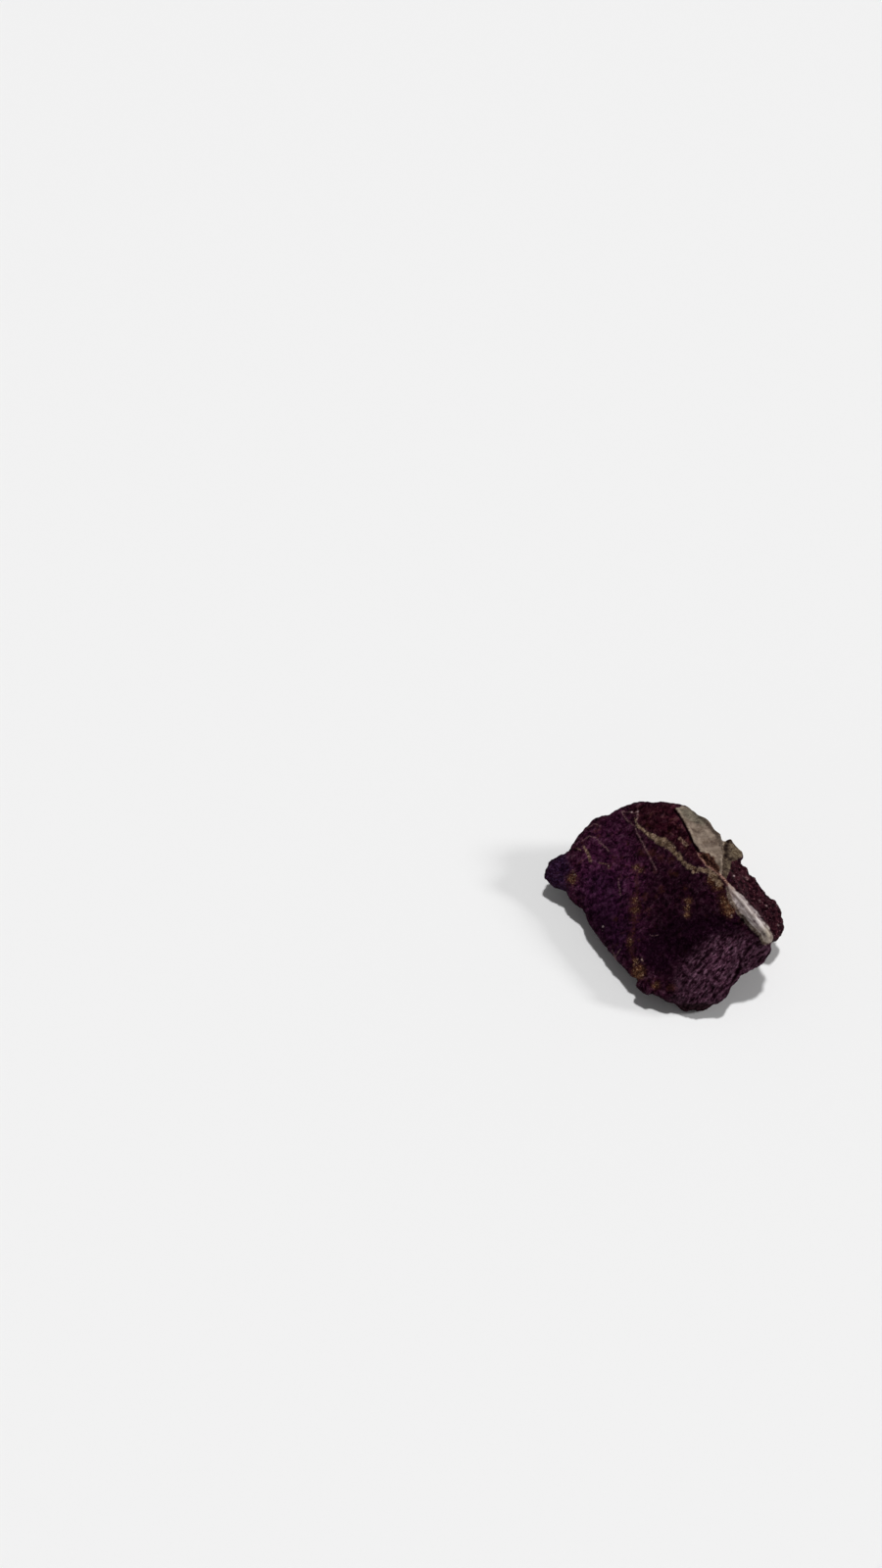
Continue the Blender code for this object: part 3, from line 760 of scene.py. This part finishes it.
def crumbly_face(g, colour):
    """The crumbly broken face, streaked along its grain, with painted shade in its creases."""
    ways = ("along", "across", "depth")
    run = [g.math("MULTIPLY", g.mask(way), rate) for way, rate in zip(ways, BARK_PER_MM)]
    bark = g.noise(g.vector(*run), per_mm=1.0, detail=4.0, roughness=0.62, distortion=0.9)
    ridges = g.two_tone(bark, 0.38, 0.52, linear(20, 2, 12), linear(76, 48, 63))
    ridges = g.flecked(ridges, bark, 0.52, 0.64, 0.8, linear(100, 73, 88))
    ridges = g.flecked(ridges, g.speckle, 0.50, 0.36, 0.6, linear(28, 6, 18))
    ridges = g.flecked(ridges, g.speckle, 0.58, 0.70, 0.6, linear(108, 82, 98))
    ridges = g.flecked(ridges, g.patchy, 0.46, 0.62, 0.4, linear(40, 14, 28))
    colour = g.laid(colour, g.edge("crumbly", 0.5, 0.40), g.in_view, ridges)
    # Painted shade in the creases
    return g.laid(colour, g.edge("crease", 0.5, 0.25), 0.60, linear(28, 8, 18))


def toned_and_lit(g, colour):
    """The phosphate made lighter or darker by its tone and by painted light and shade."""
    tone_and_light = g.mask("tone_and_light")
    return g.mix(1.0, colour, g.vector(tone_and_light, tone_and_light, tone_and_light), "MULTIPLY")


def red_ledge(g, colour):
    red = g.two_tone(g.mottle, 0.40, 0.62, linear(24, 5, 11), linear(66, 32, 40))
    red = g.flecked(red, g.speckle, 0.60, 0.70, 0.7, linear(150, 108, 114))
    return g.mix(g.edge("ledge", 0.3, 0.2), colour, red)


def thin_streaks(g, colour):
    """The lilac threads of the flank, the tan marks and the rosy line down from the patch."""
    lilac = g.two_tone(g.speckle, 0.35, 0.62, linear(70, 44, 50), linear(140, 110, 110))
    colour = g.laid(colour, g.edge("streak", 0.22, 0.14), 0.85, lilac)
    tan = g.two_tone(g.speckle, 0.4, 0.62, linear(80, 52, 44), linear(152, 126, 108))
    colour = g.laid(colour, g.edge("tan_streak", 0.25, 0.12), 0.9, tan)
    rosy = g.two_tone(g.speckle, 0.36, 0.60, linear(96, 60, 54), linear(176, 138, 122))
    return g.laid(colour, g.edge("rosy", 0.3, 0.16), 0.9, rosy)


def ochre_crust(g, colour):
    """A brown stain with golden grains in it."""
    colour = g.laid(colour, g.edge("stain", 1.9, 0.22), 0.60, linear(70, 38, 25))
    rust = g.two_tone(g.speckle, 0.42, 0.58, linear(72, 40, 28), linear(124, 88, 60))
    rust = g.flecked(rust, g.speckle, 0.57, 0.65, 0.7, linear(192, 166, 138))
    return g.laid(colour, g.edge("ochre", 1.5, 0.20), 0.75, rust)


def vein_crust(g, colour):
    """The main vein: cream grains with brown and olive between them."""
    crust = g.two_tone(g.mottle, 0.38, 0.58, linear(60, 38, 32), linear(142, 120, 100))
    crust = g.flecked(crust, g.speckle, 0.46, 0.34, 0.6, linear(52, 28, 26))
    crust = g.flecked(crust, g.speckle, 0.54, 0.66, 0.6, linear(188, 166, 146))
    crust = g.flecked(crust, g.patchy, 0.44, 0.56, 0.40, linear(88, 70, 44))
    return g.mix(g.edge("vein", 0.9, 0.16), colour, crust)


def pale_patch(g, colour):
    """The pale matrix patch, greyer at its top and dark along its rim."""
    pale = g.two_tone(g.patchy, 0.40, 0.60, linear(116, 101, 88), linear(149, 134, 119))
    grey = g.two_tone(g.speckle, 0.4, 0.6, linear(80, 77, 64), linear(138, 131, 115))
    pale = g.laid(pale, g.edge("grey", 0.5, 0.35), 0.8, grey)
    pale = g.flecked(pale, g.speckle, 0.56, 0.70, 0.40, linear(92, 74, 60))
    pale = g.flecked(pale, g.grit, 0.60, 0.70, 0.4, linear(196, 182, 168))
    pale = g.laid(pale, g.edge("rim", 1.6, 0.25), 0.7, linear(52, 43, 38))
    return g.mix(g.edge("patch", 0.25, 0.08), colour, pale)


def back_knob(g, colour):
    """The gritty knob behind the patch, with cream and dark spots."""
    gritty = g.two_tone(g.mottle, 0.40, 0.60, linear(58, 46, 38), linear(108, 94, 78))
    gritty = g.flecked(gritty, g.speckle, 0.58, 0.70, 0.5, linear(150, 134, 114))
    cream = g.two_tone(g.speckle, 0.40, 0.58, linear(92, 76, 56), linear(142, 128, 106))
    gritty = g.laid(gritty, g.edge("cream", 0.8, 0.30), 0.7, cream)
    gritty = g.laid(gritty, g.edge("dark_crumb", 0.8, 0.35), 0.75, linear(34, 24, 20))
    return g.mix(g.edge("crumb", 0.4, 0.12), colour, gritty)


def bleached_strip(g, colour):
    """The white strip, fibrous along its length and duller at both ends, with a smear beside it."""
    smear = g.two_tone(g.mottle, 0.4, 0.6, linear(98, 82, 72), linear(148, 134, 122))
    smear = g.flecked(smear, g.speckle, 0.46, 0.36, 0.5, linear(66, 46, 38))
    colour = g.mix(g.edge("strip_side", 0.5, 0.16), colour, smear)
    along, across = g.mask("strip_along"), g.mask("strip_across")
    run = [g.math("MULTIPLY", along, FIBRE_PER_MM[0]), g.math("MULTIPLY", across, FIBRE_PER_MM[1]), 0.0]
    fibre = g.noise(g.vector(*run), per_mm=1.0, detail=4.0, distortion=0.4)
    white = g.two_tone(fibre, 0.40, 0.60, linear(164, 151, 146), linear(204, 194, 191))
    white = g.flecked(white, g.speckle, 0.60, 0.72, 0.35, linear(132, 120, 110))
    white = g.flecked(white, along, 9.0, 12.5, 0.7, linear(160, 148, 130))
    white = g.flecked(white, along, 4.0, 0.5, 0.7, linear(132, 108, 94))
    return g.mix(g.edge("strip", 0.25, 0.10), colour, white)


def marks_shade_and_glints(g, colour):
    """The brown pit, the painted shadow along the patch's edge, painted shade on the foot and painted glints.
    """
    pit = g.two_tone(g.speckle, 0.42, 0.60, linear(42, 20, 17), linear(116, 82, 64))
    colour = g.laid(colour, g.edge("pit", 0.4, 0.15), g.in_view, pit)
    # Painted shadow: the thin dark line along the patch's edge
    colour = g.laid(colour, g.edge("shadow_groove", 0.15, 0.10), g.in_view, linear(16, 4, 7))
    # Painted shade: the underside of the foot darkened
    colour = g.laid(colour, g.edge("foot", 0.6, 0.30), 0.85, linear(42, 25, 27))
    # Painted glints
    return g.laid(colour, g.edge("glint", 0.3, 0.20), 0.8, linear(204, 184, 186))


def shaded(g, colour):
    """The colour made darker in the hollows of the relief, as painted shade."""
    lift = g.span(g.mask("lift"), 0.15, 0.75, smooth=False)
    shade = g.mix(lift, linear(120, 108, 114), linear(255, 255, 255))
    return g.mix(1.0, colour, shade, "MULTIPLY")


def stone_finish(g):
    """A satin phosphate and duller pale rock, both covered in fine chips and grit."""
    dull = g.math("MAXIMUM", g.edge("patch"), g.math("MAXIMUM", g.edge("strip"), g.edge("vein")))
    satin = g.math("MULTIPLY_ADD", g.span(g.mottle, 0.3, 0.7, smooth=False), SATIN_RANGE, SATIN_LEAST)
    roughness = g.math("MULTIPLY_ADD", g.math("SUBTRACT", DULL_ROUGHNESS, satin), dull, satin)
    g.feed(g.shader.inputs["Roughness"], roughness)
    g.shader.inputs["IOR"].default_value = STONE_IOR
    g.shader.inputs["Specular IOR Level"].default_value = STONE_SPECULAR
    g.shader.inputs["Specular Tint"].default_value = STONE_TINT
    chips = g.math("ADD", *[g.facets(g.where, per_mm, slope) for per_mm, slope in CHIPS])
    grit = g.math("MULTIPLY_ADD", g.grit, FINE_GRIT, g.speckle)
    height = g.math("MULTIPLY_ADD", grit, GRIT_HEIGHT, chips)
    strength = g.math("MULTIPLY_ADD", dull, -DULL_LOSS, 1.0)
    bump = g.node("ShaderNodeBump", {"Height": height, "Strength": strength, "Distance": MM})
    g.feed(g.shader.inputs["Normal"], bump.outputs["Normal"])


def stone_material():
    """Dark purple phosphate, pale granular rock, cream and ochre crusts, each where its mask says, with
    painted shade, shadow and glints.
    """
    material = bpy.data.materials.new("purpurite_rock")
    g = StoneGraph(material)
    colour = phosphate(g)
    for layer in (
        blue_and_shaded_hollow, crumbly_face, toned_and_lit, red_ledge, thin_streaks, ochre_crust, vein_crust, pale_patch,
        back_knob, bleached_strip, marks_shade_and_glints, shaded,
    ):
        colour = layer(g, colour)
    g.feed(g.shader.inputs["Base Color"], colour)
    stone_finish(g)
    return material


def floor_material():
    """Matt and nearly white."""
    material = bpy.data.materials.new("floor")
    g = Graph(material)
    g.shader.inputs["Base Color"].default_value = FLOOR_COLOUR
    g.shader.inputs["Roughness"].default_value = FLOOR_ROUGHNESS
    g.shader.inputs["Specular IOR Level"].default_value = FLOOR_SPECULAR
    return material


def add_floor():
    """A wide pale floor."""
    corners = [(x * FLOOR_HALF, y * FLOOR_HALF, 0.0) for x, y in ((-1, -1), (1, -1), (1, 1), (-1, 1))]
    mesh = bpy.data.meshes.new("floor")
    mesh.from_pydata(corners, [], [(0, 1, 2, 3)])
    mesh.materials.append(floor_material())
    floor = bpy.data.objects.new("floor", mesh)
    bpy.context.scene.collection.objects.link(floor)


def add_light(name, azimuth, elevation, spread, strength):
    """A far light that shines on the stone.

    Azimuth 0 is the viewer's side and 90 is the right. Azimuth, elevation and spread are in degrees.
    """
    data = bpy.data.lights.new(name, "SUN")
    data.angle = math.radians(spread)
    data.energy = strength
    light = bpy.data.objects.new(name, data)
    turn, tilt = math.radians(azimuth), math.radians(elevation)
    way = Vector((math.sin(turn) * math.cos(tilt), -math.cos(turn) * math.cos(tilt), math.sin(tilt)))
    light.location = way
    light.rotation_euler = (-way).to_track_quat("-Z", "Y").to_euler()
    bpy.context.scene.collection.objects.link(light)


def add_room():
    """An even white room that is brighter near the horizon."""
    world = bpy.data.worlds.new("studio")
    world.use_nodes = True
    tree = world.node_tree
    coordinates = tree.nodes.new("ShaderNodeTexCoord")
    upward = tree.nodes.new("ShaderNodeSeparateXYZ")
    fade = tree.nodes.new("ShaderNodeMapRange")
    background = tree.nodes["Background"]
    tree.links.new(coordinates.outputs["Generated"], upward.inputs[0])
    tree.links.new(upward.outputs["Z"], fade.inputs["Value"])
    tree.links.new(fade.outputs["Result"], background.inputs["Strength"])
    fade.inputs["From Min"].default_value = 0.0
    fade.inputs["From Max"].default_value = FADE_SINE
    fade.inputs["To Min"].default_value = HORIZON_LIGHT
    fade.inputs["To Max"].default_value = UPPER_LIGHT
    background.inputs["Color"].default_value = (1.0, 1.0, 1.0, 1.0)
    bpy.context.scene.world = world
    bpy.context.scene.view_settings.view_transform = "Standard"


noise.seed_set(SLANT_SEED)
add_camera()
build_skin(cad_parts["purpurite_stone"])
add_floor()
add_light("overhead", azimuth=145, elevation=78.5, spread=5.3, strength=2.14)
add_light("right_window", azimuth=90, elevation=27, spread=12.0, strength=1.40)
add_room()
